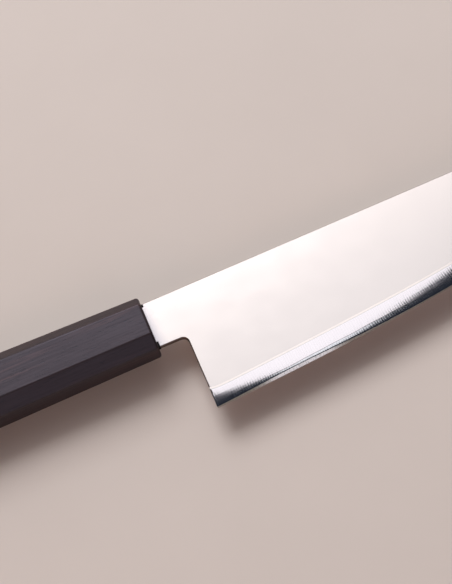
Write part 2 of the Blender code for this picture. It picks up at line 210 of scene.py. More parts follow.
class StageSizes(bpy.types.PropertyGroup):
    """The floor, the lamps and the camera"""

    aim_ahead: length("Aim ahead", "The aimed point, ahead of the handle's face", 0.02966)
    aim_above: length("Aim above", "The aimed point, above the handle's axis", 0.0011)
    distance: length("Distance", "From the camera to the aimed point", 0.4268)
    azimuth: angle("Azimuth", "The camera's turn round the knife", -11.16)
    elevation: angle("Elevation", "The camera's height over the horizon", 67.90)
    roll: angle("Roll", "The camera's turn about its own line of sight", -12.45)
    lens: bpy.props.FloatProperty(
        name="Lens", description="Focal length", default=73.97, min=1, unit="CAMERA"
    )
    floor_reach: length("Floor reach", "Half the floor's side", 4.0)
    floor_colour: colour("Floor", "The pale stone under the knife", "D7CDC8")
    wall_colour: colour("Far wall", "The room behind the knife", "EDE4DE")
    near_colour: colour("Near wall", "The room on the camera's side", "645E5B")
    low_colour: colour("Lower walls", "The dark furniture all round, up to the knife's level", "3A3230")
    flag_colour: colour("Flag", "The dark ceiling by the camera", "22262F")
    flag_way: place("Flag way", "From the knife to the middle of the dark ceiling", (0.14, -0.10, 1))
    flag_inner: angle("Flag core", "Half-angle inside which the ceiling is fully dark", 19)
    flag_outer: angle("Flag rim", "Half-angle at which the dark ceiling ends", 35)
    window_colour: colour("Window", "The pale, cool window on the camera's side", "F4F4FF")
    window_way: place("Window way", "From the knife to the window's middle", (0.1, -1, 0.46))
    window_inner: angle("Window core", "Half-angle inside which the window is fully bright", 17)
    window_outer: angle("Window rim", "Half-angle at which the window ends", 32)
    softbox_corner: place("Softbox corner", "Its near corner, from the handle's face", (0.476, -0.003, 3))
    softbox_turn: angle("Softbox turn", "Its turn about the upright", 52)
    softbox_side: length("Softbox side", "Its width and depth", 3.6)
    softbox_level: share("Softbox level", "Brightness of its face", 1.04, 10)
    key_spot: place("Key place", "The key lamp, from the handle's face", (-0.02, 1.11, 1.24))
    key_side: length("Key side", "Its width and height", 0.8)
    key_level: share("Key level", "Brightness of its face", 7.5, 20)
    card_spot: place("Card place", "The warm card, from the handle's face", (-1.0, -0.8, 0.7))
    card_side: length("Card side", "Its width and height", 0.6)
    card_level: share("Card level", "Brightness of its face", 2.2, 20)
    card_colour: colour("Card", "The warm tint of what it throws back", "FFAC68")


class KnifeSettings(bpy.types.PropertyGroup):
    """All that a user would change"""

    blade: bpy.props.PointerProperty(type=BladeSizes)
    handle: bpy.props.PointerProperty(type=HandleSizes)
    stage: bpy.props.PointerProperty(type=StageSizes)


def blend(first, last, share_of_way):
    return first + (last - first) * share_of_way


# Meshes


def new_object(name, mesh_maker, finishes=()):
    """A mesh object at the knife's place, with its faces turned out."""
    shape = bmesh.new()
    mesh_maker(shape)
    bmesh.ops.recalc_face_normals(shape, faces=shape.faces)
    mesh = bpy.data.meshes.new(name)
    shape.to_mesh(mesh)
    shape.free()
    for finish in finishes:
        mesh.materials.append(finish)
    obj = bpy.data.objects.new(name, mesh)
    obj.location = PLACE
    bpy.context.collection.objects.link(obj)
    return obj


def skin_rings(shape, rings, finish_of=None, chart=None):
    """Joins rings of equally many points into one closed skin with flat ends.

    finish_of gives a material's place for the strip that starts at each point of a ring. chart
    gives, ring by ring, each point's flat coordinates, which patterns follow.
    """
    sheet = shape.loops.layers.uv.new(SHEET)
    made = [[shape.verts.new(point) for point in ring] for ring in rings]
    count = len(made[0])
    for row, (ring, following) in enumerate(zip(made, made[1:])):
        for index in range(count):
            after = (index + 1) % count
            face = shape.faces.new((ring[index], ring[after], following[after], following[index]))
            if finish_of:
                face.material_index = finish_of[index]
            if chart:
                corners = ((row, index), (row, after), (row + 1, after), (row + 1, index))
                for loop, (at_row, at_index) in zip(face.loops, corners):
                    loop[sheet].uv = chart[at_row][at_index]
    shape.faces.new(made[0])
    shape.faces.new(made[-1])


def box(name, low, high):
    """A plain block between two corners."""

    def block(shape):
        ends = []
        for x in (low[0], high[0]):
            corners = [(low[1], low[2]), (high[1], low[2]), (high[1], high[2]), (low[1], high[2])]
            ends.append([(x, y, z) for y, z in corners])
        skin_rings(shape, ends)

    return new_object(name, block)


def cut(obj, helper, operation):
    """Cuts or trims an object with a helper, and keeps the outcome as its mesh."""
    modifier = obj.modifiers.new(operation.lower(), "BOOLEAN")
    modifier.operation = operation
    modifier.object = helper
    bpy.context.view_layer.update()
    graph = bpy.context.evaluated_depsgraph_get()
    before = obj.data
    obj.data = bpy.data.meshes.new_from_object(obj.evaluated_get(graph))
    obj.data.name = obj.name
    obj.modifiers.clear()
    bpy.data.meshes.remove(before)


def drop(obj):
    mesh = obj.data
    bpy.data.objects.remove(obj)
    bpy.data.meshes.remove(mesh)


def round_edges(obj, width_of, segments):
    """Rounds each edge as wide as width_of gives for it, in the object's first finish."""
    shape = bmesh.new()
    shape.from_mesh(obj.data)
    widths = [width_of(edge) for edge in shape.edges]
    widest = max(widths)
    layer = shape.edges.layers.float.new("bevel_weight_edge")
    for edge, width in zip(shape.edges, widths):
        edge[layer] = width / widest
    shape.to_mesh(obj.data)
    shape.free()
    modifier = obj.modifiers.new("rounded edges", "BEVEL")
    modifier.limit_method = "WEIGHT"
    modifier.width = widest
    modifier.segments = segments
    modifier.use_clamp_overlap = False
    modifier.loop_slide = False
    modifier.material = 0


def shade(obj, sharpest):
    """Shades smooth, but crisp over an angle in degrees and where two finishes meet."""
    mesh = obj.data
    mesh.shade_smooth()
    mesh.set_sharp_from_angle(angle=math.radians(sharpest))
    shape = bmesh.new()
    shape.from_mesh(mesh)
    for edge in shape.edges:
        if len({face.material_index for face in edge.link_faces}) > 1:
            edge.smooth = False
    shape.to_mesh(mesh)
    shape.free()


def even_out(obj):
    """Broad faces keep their own direction, so that a rounded rim runs out into a true flat."""
    modifier = obj.modifiers.new("even normals", "WEIGHTED_NORMAL")
    modifier.keep_sharp = True


# Blade

# The weld's waves: how long one radian of each is, where it starts and its share
WELD_WAVES = ((0.0093, 0.4, 0.5), (0.0041, 1.7, 0.3), (0.0019, 2.6, 0.2))
# Rows of faces up the ground bevel, on a cladding and on the core
BEVEL_ROWS = 12
CORE_ROWS = 5
# Steps along the spine's drop, round each round corner and along the heel's flare
ARC_STEPS = 56
CORNER_STEPS = 16
FLARE_STEPS = 14
# After this many of its own lengths, little is left of the heel's flare
FLARE_LENGTHS = 3
# How far the ground bar runs on past the tip
RUN_ON = 2 * REACH
# What counts as the same place
HAIR = 0.00001
# The most that a face of the outline looks sideways, and the least that a side does
UPRIGHT_TILT, FLAT_TILT = 0.3, 0.9
# The least that a face of the spine looks up
SPINE_FACING = 0.5
# Steps in each rounding, and the angle over which an edge stays crisp
STEEL_STEPS, STEEL_CRISP = 4, 30
# Each finish by its place among its layer's own, the filed outline first
FILED, POLISHED, GROUND, WELD, RUBBED, STOP = range(6)
CORE_GROUND, CORE_HONED = 1, 2


class BladeForm:
    """The blade's curves, each at a length x from the handle's front face."""

    def __init__(self, sizes):
        self.sizes = sizes
        self.heel_x = sizes.neck_length
        self.tip_x = sizes.tip_reach
        self.length = self.tip_x - self.heel_x
        self.neck_top = self.spine_line(0)
        self.neck_bottom = self.neck_top - sizes.neck_height
        self.tang_top = self.neck_top - sizes.machi_top
        self.tang_bottom = self.neck_bottom + sizes.machi_bottom
        self.flare_end = self.heel_x + FLARE_LENGTHS * sizes.heel_flare_length
        tip_bottom = self.spine_line(self.tip_x) - sizes.tip_drop - sizes.tip_nose
        self.belly = tip_bottom + sizes.heel_drop - sizes.edge_rise * self.length
        # The bevel bulges by bend * way * (1 - way), which half-way up is a quarter of bend
        self.bend = 4 * sizes.bevel_bulge

    def spine_line(self, x):
        """Height of the straight spine over the handle's axis."""
        return self.sizes.spine_above_axis + self.sizes.spine_rise * x

    def edge_y(self, x):
        """Height of the edge: a straight rise from the heel, and a belly that grows to the tip."""
        along = x - self.heel_x
        swept = self.belly * (max(along, 0) / self.length) ** self.sizes.belly_power
        return self.sizes.edge_rise * along + swept - self.sizes.heel_drop

    def edge_slope(self, x):
        """How steeply edge_y rises."""
        power = self.sizes.belly_power
        way = max(x - self.heel_x, 0) / self.length
        return self.sizes.edge_rise + self.belly * power / self.length * way ** (power - 1)

    def spine_half(self, x):
        """Half the thickness along the spine, which thins both ways from the neck."""
        sizes = self.sizes
        if x < 0:
            way = -x / sizes.tang_length
            return blend(sizes.spine_at_neck, sizes.tang_end_thickness, way) / 2
        return blend(sizes.spine_at_neck, sizes.spine_at_tip, x / self.tip_x) / 2

    def shoulder_half(self, x):
        """Half the thickness at the top of the bevel."""
        way = max(x - self.heel_x, 0) / self.length
        return blend(self.sizes.bevel_back_at_heel, self.sizes.bevel_back_at_tip, way) / 2

    def shoulder_height(self, x):
        """Height of the bevel: fuller in mid-blade, and flared where it meets the heel."""
        sizes = self.sizes
        along = min(max(x - self.heel_x, 0), self.length)
        swell = sizes.bevel_swell * math.sin(math.pi * along / self.length)
        flare = sizes.heel_flare * math.exp(-along / sizes.heel_flare_length)
        return sizes.bevel_height + swell + flare

    def bevel_half(self, x, way):
        """Half the thickness on the convex bevel, part of the way from the honed edge to its top."""
        straight = blend(self.sizes.micro_bevel_back / 2, self.shoulder_half(x), way)
        return straight + self.bend * way * (1 - way)

    def hone_way(self, x):
        """The part of the way up the bevel that the hone has taken as well."""
        away = (x - self.heel_x - self.sizes.hone_middle) / self.sizes.hone_reach
        return self.sizes.hone_swell / self.shoulder_height(x) * math.exp(-(away**2))

    def bevel_point(self, x, way):
        """A point on the bevel: its height over the edge, and how far it stands out."""
        height = blend(self.sizes.micro_bevel_height, self.shoulder_height(x), way)
        return height, self.bevel_half(x, way)

    def weld_half(self, x):
        """Half the core's thickness, which wanders a little as forging leaves it."""
        wave = sum(part * math.sin(x / size + start) for size, start, part in WELD_WAVES)
        return self.sizes.core_thickness / 2 * (1 + self.sizes.weld_wander * wave)

    def weld_way(self, x):
        """The part of the way up the bevel at which it leaves the core and meets the cladding.

        There bevel_half is as much as weld_half, and this is that equation's lower root.
        """
        honed = self.sizes.micro_bevel_back / 2
        rise = self.weld_half(x) - honed
        grow = self.shoulder_half(x) - honed + self.bend
        return 2 * rise / (grow + math.sqrt(grow**2 - 4 * self.bend * rise))

    def flat_point(self, x, height):
        """A point on the polished flat, which runs straight from the bevel's top to the spine."""
        slope = self.edge_slope(x)
        lean = 1 / math.sqrt(1 + slope**2)
        spine = (self.spine_line(x) - self.edge_y(x)) / (lean * (1 + self.sizes.spine_rise * slope))
        shoulder = self.shoulder_height(x)
        way = (height - shoulder) / (spine - shoulder)
        return height, blend(self.shoulder_half(x), self.spine_half(x), way)

    def bar_top(self, x):
        """Height over the edge at which the bar ends, past the spine that is cut from it."""
        return self.spine_line(x) - self.edge_y(x) + REACH

    def core_section(self, x):
        """The core all round, from the edge up its right side and down its left."""
        side = [(0, self.sizes.edge_thickness / 2)]
        for row in range(CORE_ROWS + 1):
            way = blend(self.hone_way(x), self.weld_way(x), row / CORE_ROWS)
            height, half = self.bevel_point(x, way)
            feather = 0 if row else self.sizes.hone_feather
            side.append((height, half - feather))
        side.append((self.bar_top(x), self.weld_half(x)))
        return side + [(height, -half) for height, half in reversed(side)]

    def core_finishes(self):
        """Which finish each strip of the core's section has; the welded sides are left as filed."""
        side = [CORE_HONED] + [CORE_GROUND] * CORE_ROWS + [FILED]
        return side + [FILED] + side[::-1] + [CORE_HONED]

    def cladding_section(self, x):
        """The right cladding all round: up its outer side, and down the weld to the core."""
        sizes = self.sizes
        shoulder = self.shoulder_height(x)
        soft = sizes.shoulder_softness / 2
        line = sizes.line_height / shoulder
        start = self.weld_way(x)
        last = 1 - soft / shoulder
        outer = [self.bevel_point(x, start)]
        for row in range(BEVEL_ROWS + 1):
            outer.append(self.bevel_point(x, blend(start + line, last - line, row / BEVEL_ROWS)))
        outer += [self.bevel_point(x, last), self.flat_point(x, shoulder + soft)]
        top = self.bar_top(x)
        return outer + [self.flat_point(x, top), (top, self.weld_half(x))]

    def cladding_finishes(self):
        """Which finish each strip of the cladding's section has; the last two are out of sight."""
        return [WELD] + [GROUND] * BEVEL_ROWS + [STOP, RUBBED, POLISHED, POLISHED, POLISHED]

    def stations(self):
        """Lengths of the sections: close together at the heel, even along the edge."""
        sizes = self.sizes
        places = [-sizes.tang_length - REACH, -sizes.tang_length / 2, 0]
        places.append(self.heel_x - sizes.choil_radius)
        flare = self.flare_end - self.heel_x
        for step in range(FLARE_STEPS):
            places.append(self.heel_x + flare * step / FLARE_STEPS)
        reach = self.tip_x + RUN_ON - self.flare_end
        count = round(reach / sizes.station_step)
        for step in range(count + 1):
            places.append(self.flare_end + reach * step / count)
        return places

    def ground_bar(self, name, section, finish_of, finishes):
        """A bar lofted along the edge, each section standing square to it."""

        def loft(shape):
            rings = []
            chart = []
            for x in self.stations():
                up = Vector((-self.edge_slope(x), 1, 0)).normalized()
                foot = Vector((x, self.edge_y(x), 0))
                points = section(x)
                rings.append([foot + up * height + Vector((0, 0, half)) for height, half in points])
                chart.append([(x, height) for height, half in points])
            skin_rings(shape, rings, finish_of, chart)

        return new_object(name, loft, finishes)

    def outline(self):
        """The smith's template, which trims the ground bar everywhere but along the edge."""
        below_edge = self.edge_y(self.heel_x) - REACH
        gap = self.sizes.machi_gap
        points = [(self.heel_x, below_edge)]
        points += self.choil_corner()
        points += [(gap, self.neck_bottom), (gap, self.tang_bottom)]
        points += self.tang_end()
        points += [(gap, self.tang_top), (gap, self.spine_line(gap))]
        points += self.spine_arc()
        points += [(self.tip_x, below_edge)]
        return points

    def spine_arc(self):
        """The drop from the straight spine to the tip: one circle that leaves the spine smoothly."""
        sizes = self.sizes
        run = self.length - sizes.spine_straight
        radius = (run**2 + sizes.tip_drop**2) / (2 * sizes.tip_drop)
        sweep = math.asin(run / radius)
        points = []
        for step in range(ARC_STEPS + 1):
            turn = sweep * step / ARC_STEPS
            x = self.heel_x + sizes.spine_straight + radius * math.sin(turn)
            points.append((x, self.spine_line(x) - radius * (1 - math.cos(turn))))
        return points

    def choil_corner(self):
        """The round inner corner between the heel's back and the neck's underside."""
        radius = self.sizes.choil_radius
        points = []
        for step in range(CORNER_STEPS + 1):
            turn = math.pi / 2 * step / CORNER_STEPS
            x = self.heel_x - radius + radius * math.cos(turn)
            points.append((x, self.neck_bottom - radius + radius * math.sin(turn)))
        return points

    def tang_end(self):
        """The tang's half-round end, from its underside to its top."""
        sizes = self.sizes
        radius = sizes.tang_end_height / 2
        points = []
        for step in range(CORNER_STEPS + 1):
            turn = math.pi * (1.5 - step / CORNER_STEPS)
            x = radius - sizes.tang_length + radius * math.cos(turn)
            points.append((x, radius * math.sin(turn) - sizes.tang_end_drop))
        return points


def eased_corner(form):
    """Gives the width of each of a cladding's outer corners, rubbed smooth from spine to heel."""
    sizes = form.sizes

    def width_of(edge):
        faces = edge.link_faces
        tilts = sorted(abs(face.normal.z) for face in faces)
        ahead = max(vert.co.x for vert in edge.verts) > sizes.machi_gap + HAIR
        if len(faces) != 2 or tilts[0] > UPRIGHT_TILT or tilts[1] < FLAT_TILT or not ahead:
            return 0
        upright = min(faces, key=lambda face: abs(face.normal.z))
        rounding = sizes.eased_spine if upright.normal.y > SPINE_FACING else sizes.eased_corner
        wall = min(abs(vert.co.z) - form.weld_half(vert.co.x) for vert in edge.verts)
        return min(rounding, max(wall, 0) * sizes.most_eased)

    return width_of


def mirrored(obj, name):
    """A copy on the blade's other side, with its faces still turned out."""
    twin = bpy.data.objects.new(name, obj.data.copy())
    twin.location = obj.location
    bpy.context.collection.objects.link(twin)
    twin.data.transform(Matrix.Diagonal((1, 1, -1, 1)))
    twin.data.flip_normals()
    return twin


def grind_blade(sizes):
    """Core steel between two claddings: each is its own bar, trimmed to the one outline."""
    form = BladeForm(sizes)
    outline = form.outline()
    depth = sizes.spine_at_neck + REACH

    def prism(shape):
        rings = [[(x, y, z) for x, y in outline] for z in (-depth, depth)]
        skin_rings(shape, rings)

    template = new_object("blade_template", prism)
    filed = filed_steel(sizes)
    core_steels = (filed, ground_core_steel(sizes), honed_core_steel(sizes))
    cladding_steels = (
        filed,
        polished_cladding_steel(sizes),
        ground_cladding_steel(sizes),
        grey_line_steel("unpolished_weld_steel", sizes.weld_colour),
        rubbed_shoulder_steel(sizes),
        grey_line_steel("unpolished_stop_steel", sizes.stop_colour),
    )
    core = form.ground_bar("ground_core", form.core_section, form.core_finishes(), core_steels)
    right = form.ground_bar(
        "ground_cladding_right", form.cladding_section, form.cladding_finishes(), cladding_steels
    )
    for layer in (core, right):
        cut(layer, template, "INTERSECT")
        shade(layer, STEEL_CRISP)
    drop(template)
    left = mirrored(right, "ground_cladding_left")
    for layer in (right, left):
        round_edges(layer, eased_corner(form), STEEL_STEPS)
    for layer, node, slot in (
        (core, "blade_core", "core_steel"),
        (right, "blade_cladding_right", "cladding_steel"),
        (left, "blade_cladding_left", "cladding_steel"),
    ):
        even_out(layer)
        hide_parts(node)
        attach(layer, BODY)


# Handle

# Steps in each rounding, and the angle over which an edge stays crisp
WOOD_STEPS, WOOD_CRISP = 8, 40


def octagon(x, height, width, facet):
    """The handle's section at one length, with its eight corners."""
    high, wide = height / 2, width / 2
    corners = [(high, wide - facet), (high - facet, wide)]
    points = []
    for up, out in ((1, 1), (-1, 1), (-1, -1), (1, -1)):
        ordered = corners if up * out > 0 else corners[::-1]
        points += [(x, up * y, out * z) for y, z in ordered]
    return points


def shape_handle(sizes):
    """The octagonal handle, hollowed where the seal and the tang's bed sit."""

    def loft(shape):
        front = octagon(0, sizes.front_height, sizes.front_width, sizes.front_facet)
        butt = octagon(-sizes.handle_length, sizes.butt_height, sizes.butt_width, sizes.butt_facet)
        skin_rings(shape, [front, butt])

    def rim_width(edge):
        ends = [vert.co.x for vert in edge.verts]
        if min(ends) > -sizes.handle_length / 2:
            return sizes.front_round
        if max(ends) < -sizes.handle_length / 2:
            return sizes.butt_round
        return sizes.edge_round

    handle = new_object("ebony_handle", loft, (oiled_ebony(sizes),))
    round_edges(handle, rim_width, WOOD_STEPS)
    seal_low, seal_high = own_box("mouth_seal")
    bed_low, bed_high = own_box("tang_bed")
    mouth = box("mouth_cutter", seal_low, (REACH, seal_high.y, seal_high.z))
    bore = box("bore_cutter", bed_low, bed_high)
    for cutter in (mouth, bore):
        cut(handle, cutter, "DIFFERENCE")
        drop(cutter)
    shade(handle, WOOD_CRISP)
    even_out(handle)
    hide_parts("handle")
    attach(handle, BODY)


def dress_mouth(sizes):
    """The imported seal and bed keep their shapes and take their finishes."""
    for node, finish in (("mouth_seal", black_resin(sizes)), ("tang_bed", amber_resin(sizes))):
        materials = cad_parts[node].data.materials
        materials.clear()
        materials.append(finish)


# Finishes

WHITE = (1, 1, 1, 1)
# What all steels have in common
METAL = {"Metallic": 1}
# The span that holds most of a mottled pattern's values, and how much its finer cells show
MIDDLE = (0.3, 0.7)
FINER_CELLS = 0.6
# The wave pattern runs through this many radians in one unit
WAVE_RADIANS = 20
# How many millimetres a whetstone's even stroke runs before it wanders, and how far it does
STROKE_LENGTH = 9
STROKE_WANDER = 2.5
# How much the even strokes count beside the uneven ones
EVEN_SHARE = 0.5
# How deep the whetstone's scratches and its long facets are, in micrometres
SCRATCH_DEPTH = 3.4
FACET_DEPTH = 7
# Between these lengths from the handle's face, the painted shade by the handle fades out
NECK_SHADE_SPAN = (-1 * MM, 7 * MM)
# The part of the hone's swell over which it pressed its hardest
PRESSED_PART = 1 / 3
# How much the wood's fibres count in its relief beside the pores
FIBRE_SHARE = 0.4


def add(tree, kind, inputs=None, **settings):
    """Adds a node with its settings, and its inputs as plain values or as links."""
    made = tree.nodes.new(kind)
    for name, value in settings.items():
        setattr(made, name, value)
    for socket, value in (inputs or {}).items():
        if isinstance(value, bpy.types.NodeSocket):
            tree.links.new(value, made.inputs[socket])
        else:
            made.inputs[socket].default_value = value
    return made


def new_finish(name):
    """A material with an empty tree, and the tree."""
    material = bpy.data.materials.new(name)
    material.use_nodes = True
    material.node_tree.nodes.clear()
    return material, material.node_tree


def close_finish(material, tone, inputs, rough=None, span=MIDDLE, relief=None):
    """Ends a material with its tone, its plain inputs and what varies over it, and gives it back.

    rough is a pattern and the roughness at the start and the end of the span it rises through.
    relief is a pattern and how many micrometres deep one unit of it is.
    """
    tree = material.node_tree
    varied = {"Base Color": tone}
    if rough:
        pattern, first, last = rough
        start, end = span
        ends = {"Value": pattern, "From Min": start, "From Max": end, "To Min": first, "To Max": last}
        ranged = add(tree, "ShaderNodeMapRange", ends, interpolation_type="SMOOTHSTEP")
        varied["Roughness"] = ranged.outputs[0]
    if relief:
        height, depth = relief
        bump = add(tree, "ShaderNodeBump", {"Height": height, "Distance": depth * MM * MM})
        varied["Normal"] = bump.outputs[0]
    shader = add(tree, "ShaderNodeBsdfPrincipled", {**inputs, **varied})
    add(tree, "ShaderNodeOutputMaterial", {"Surface": shader.outputs[0]})
    return material


def darker(tone, level):
    return [channel * level for channel in tone[:3]] + [1]


def tinted(tree, pattern, low_tone, high_tone, span=MIDDLE, least=0, most=1):
    """A colour that runs from one tone to another while a pattern rises through a span.

    least and most say how much of the second tone shows at the ends of the span. With no span,
    as much of it shows as the pattern's own value says.
    """
    way = pattern
    if span:
        start, end = span
        ends = {"Value": pattern, "From Min": start, "From Max": end, "To Min": least, "To Max": most}
        way = add(tree, "ShaderNodeMapRange", ends, interpolation_type="SMOOTHSTEP").outputs[0]
    tones = {"Factor": way, "A": low_tone, "B": high_tone}
    return add(tree, "ShaderNodeMix", tones, data_type="RGBA").outputs["Result"]


def shaded(tree, pattern, tone, level, span=MIDDLE):
    """A tone that sinks to a darker level of itself where a pattern is low."""
    return tinted(tree, pattern, darker(tone, level), tone, span)


def mottled(tree, where, cell, detail):
    """A pattern whose cells measure so many millimetres each way."""
    scale = [1 / (size * MM) for size in cell]
    scaled = add(tree, "ShaderNodeMapping", {"Vector": where, "Scale": scale}).outputs[0]
    inputs = {"Vector": scaled, "Scale": 1, "Detail": detail, "Roughness": FINER_CELLS}
    return add(tree, "ShaderNodeTexNoise", inputs).outputs[0]


def strokes(tree, along, across, detail=2):
    """A pattern on the ground sheet, by its millimetres along the edge and square to it."""
    sheet = add(tree, "ShaderNodeUVMap", uv_map=SHEET).outputs[0]
    return mottled(tree, sheet, (along, across, 1), detail)


def grain(tree, along, across, detail=3):
    """A pattern through the solid, by its millimetres along the handle and across it."""
    solid = add(tree, "ShaderNodeTexCoord").outputs["Object"]
    return mottled(tree, solid, (along, across, across), detail)


def along_edge(tree):
    """Length from the handle's front face, on the ground sheet."""
    sheet = add(tree, "ShaderNodeUVMap", uv_map=SHEET).outputs[0]
    return add(tree, "ShaderNodeSeparateXYZ", {0: sheet}).outputs["X"]


def polished_cladding_steel(sizes):
    """Stainless cladding, ground flat and buffed along the blade.

    It throws back what is over it as a soft, slightly warm white. The buffing leaves faint lines
    along the blade. Real ones are some 0.02 mm apart and are drawn 0.5 mm apart, so that they show.
    Right by the handle the colour is painted duller and cooler: painted shade, for the handle's dark face
    mirrored in the steel.
    """
    material, tree = new_finish("buffed_stainless_cladding")
    lines = strokes(tree, along=40, across=0.5)
    haze = strokes(tree, along=9, across=6)
    neck_shade_way = along_edge(tree)
    # Painted shade: the tone turns from the flat's colour to the darker neck colour towards the handle
    tone = tinted(tree, neck_shade_way, sizes.neck_shade_colour, sizes.flat_colour, span=NECK_SHADE_SPAN)
    return close_finish(material, tone, METAL, rough=(haze, 0.15, 0.17), relief=(lines, 1))


def teeth(tree, pitch):
    """Even strokes square to the edge, so many millimetres apart, that wander a little."""
    sheet = add(tree, "ShaderNodeUVMap", uv_map=SHEET).outputs[0]
    scale = (math.tau / WAVE_RADIANS / (pitch * MM), 1 / (STROKE_LENGTH * MM), 1)
    scaled = add(tree, "ShaderNodeMapping", {"Vector": sheet, "Scale": scale}).outputs[0]
    inputs = {"Vector": scaled, "Scale": 1, "Distortion": STROKE_WANDER}
    return add(tree, "ShaderNodeTexWave", inputs).outputs["Fac"]


def stone_relief(tree):
    """What a whetstone leaves: long, faint facets along the edge under scratches square to it.

    Real scratches are some 0.01 mm apart and are drawn 0.5 to 0.9 mm apart, so that they show.
    Gives the scratches, and the whole relief in micrometres.
    """
    even = teeth(tree, pitch=0.9)
    uneven = strokes(tree, along=0.5, across=9, detail=1)
    facets = strokes(tree, along=40, across=1.5)
    both = {0: even, 1: EVEN_SHARE, 2: uneven}
    comb = add(tree, "ShaderNodeMath", both, operation="MULTIPLY_ADD").outputs[0]
    waves = add(tree, "ShaderNodeMath", {0: facets, 1: FACET_DEPTH}, operation="MULTIPLY").outputs[0]
    cuts = {0: comb, 1: SCRATCH_DEPTH, 2: waves}
    return comb, add(tree, "ShaderNodeMath", cuts, operation="MULTIPLY_ADD").outputs[0]


def ground_cladding_steel(sizes):
    """Stainless cladding, cut by a whetstone across the edge.

    Finer than the flat, so it looks brighter and cooler, and it darkens in strokes where it turns
    away.
    """
    material, tree = new_finish("stone_ground_stainless_cladding")
    comb, relief = stone_relief(tree)
    tone = shaded(tree, comb, sizes.bevel_colour, level=0.96, span=(0.5, 0.8))
    rough = (comb, 0.07, 0.1)
    return close_finish(material, tone, METAL, rough, span=(0.4, 1.1), relief=(relief, 1))


def grey_line_steel(name, line_colour):
    """Where a tool stops short: the decarburised weld, and the bevel's last, unpolished stroke.

    Greyer than what lies on either side, and crossed by strokes drawn as coarse as the bevel's.
    Each line is some 0.2 mm high.
    """
    material, tree = new_finish(name)
    comb = strokes(tree, along=0.9, across=0.3)
    tone = shaded(tree, comb, line_colour, level=0.8)
    return close_finish(material, tone, METAL, rough=(comb, 0.08, 0.12))


def rubbed_shoulder_steel(sizes):
    """Stainless cladding where a soft wheel has rounded the bevel's top: a bright, warm line."""
    material, tree = new_finish("rubbed_stainless_cladding")
    haze = strokes(tree, along=5, across=1)
    tone = shaded(tree, haze, sizes.shoulder_colour, level=0.94, span=None)
    return close_finish(material, tone, METAL, rough=(haze, 0.14, 0.2))


def filed_steel(sizes):
    """The blade's outline, filed square and left dull, and coloured dark brown: a painted reflection of
    the shadowed floor under the blade.

    Real file marks are some 0.1 mm apart and are drawn 0.4 mm apart, so that they show.
    """
    material, tree = new_finish("filed_steel_painted_shade")
    marks = grain(tree, along=0.4, across=0.4)
    # Painted reflection: the dark brown stands for the shadowed floor under the blade; the file marks
    # darken it further
    tone = shaded(tree, marks, sizes.outline_shade_colour, level=0.75)
    return close_finish(material, tone, METAL, rough=(marks, 0.3, 0.42), relief=(marks, 4))


def ground_core_steel(sizes):
    """High-carbon core steel, cut by the same whetstone.

    Harder and without chromium, so it looks a little greyer and bluer than the cladding, with the
    same strokes across it and small darker clouds where it has begun to tarnish.
    """
    material, tree = new_finish("stone_ground_carbon_steel")
    comb, relief = stone_relief(tree)
    clouds = strokes(tree, along=2.2, across=1.2, detail=4)
    dull = darker(sizes.core_colour, level=0.8)
    tarnished = tinted(tree, clouds, dull, sizes.core_colour, span=(0.3, 0.55))
    tone = tinted(tree, comb, dull, tarnished, span=(0.45, 0.8))
    rough = (comb, 0.06, 0.1)
    return close_finish(material, tone, METAL, rough, span=(0.4, 1.1), relief=(relief, 1))


def honed_core_steel(sizes):
    """The same steel at the edge itself, honed on a fine stone to a narrow, warmer line.

    Where the hone pressed hardest it has left a brighter, more scattered face. Its scratches are
    some 0.005 mm apart and are drawn 0.45 mm apart, so that they show.
    """
    material, tree = new_finish("honed_carbon_steel")
    comb = strokes(tree, along=0.45, across=2, detail=1)
    middle = {0: along_edge(tree), 1: sizes.neck_length + sizes.hone_middle}
    offset = add(tree, "ShaderNodeMath", middle, operation="SUBTRACT").outputs[0]
    away = add(tree, "ShaderNodeMath", {0: offset}, operation="ABSOLUTE").outputs[0]
    reach = sizes.hone_reach
    ends = {"Value": away, "From Min": reach * PRESSED_PART, "From Max": reach}
    lightly = add(tree, "ShaderNodeMapRange", ends, interpolation_type="SMOOTHSTEP").outputs[0]
    face = tinted(tree, lightly, sizes.pressed_colour, sizes.hone_colour, span=None)
    cuts = shaded(tree, comb, WHITE, level=0.75, span=(0.35, 0.55))
    layers = {"Factor": 1, "A": face, "B": cuts}
    scratched = add(tree, "ShaderNodeMix", layers, data_type="RGBA", blend_type="MULTIPLY")
    tone = scratched.outputs["Result"]
    return close_finish(material, tone, METAL, rough=(lightly, 0.52, 0.32), span=(0, 1))


def oiled_ebony(sizes):
    """Ebony, planed to eight facets, sanded along the grain and oiled.

    Nearly black with a cool satin sheen. Paler, redder streaks a few millimetres wide run along
    it. Its pores are some 0.1 mm wide and are drawn 0.3 mm wide, so that they show.
    """
    material, tree = new_finish("oiled_ebony")
    bands = grain(tree, along=70, across=3.2)
    fibres = grain(tree, along=22, across=0.6)
    wood, streak = sizes.wood_colour, sizes.streak_colour
    banded = tinted(tree, bands, wood, streak, span=(0.5, 0.72), most=0.8)
    seams = darker(wood, level=0.72)
    fibred = tinted(tree, fibres, seams, banded, span=(0.3, 0.62), least=0.1)
    holes = grain(tree, along=4.5, across=0.3, detail=1)
    ends = {"Value": holes, "From Min": 0.3, "From Max": 0.36}
    closed = add(tree, "ShaderNodeMapRange", ends, interpolation_type="SMOOTHSTEP").outputs[0]
    tone = tinted(tree, closed, sizes.pore_colour, fibred, span=None)
    depths = {0: fibres, 1: FIBRE_SHARE, 2: closed}
    relief = add(tree, "ShaderNodeMath", depths, operation="MULTIPLY_ADD").outputs[0]
    inputs = {"IOR": 1.52, "Specular IOR Level": 0.58, "Specular Tint": sizes.sheen_colour}
    return close_finish(material, tone, inputs, rough=(fibres, 0.56, 0.48), relief=(relief, 12))


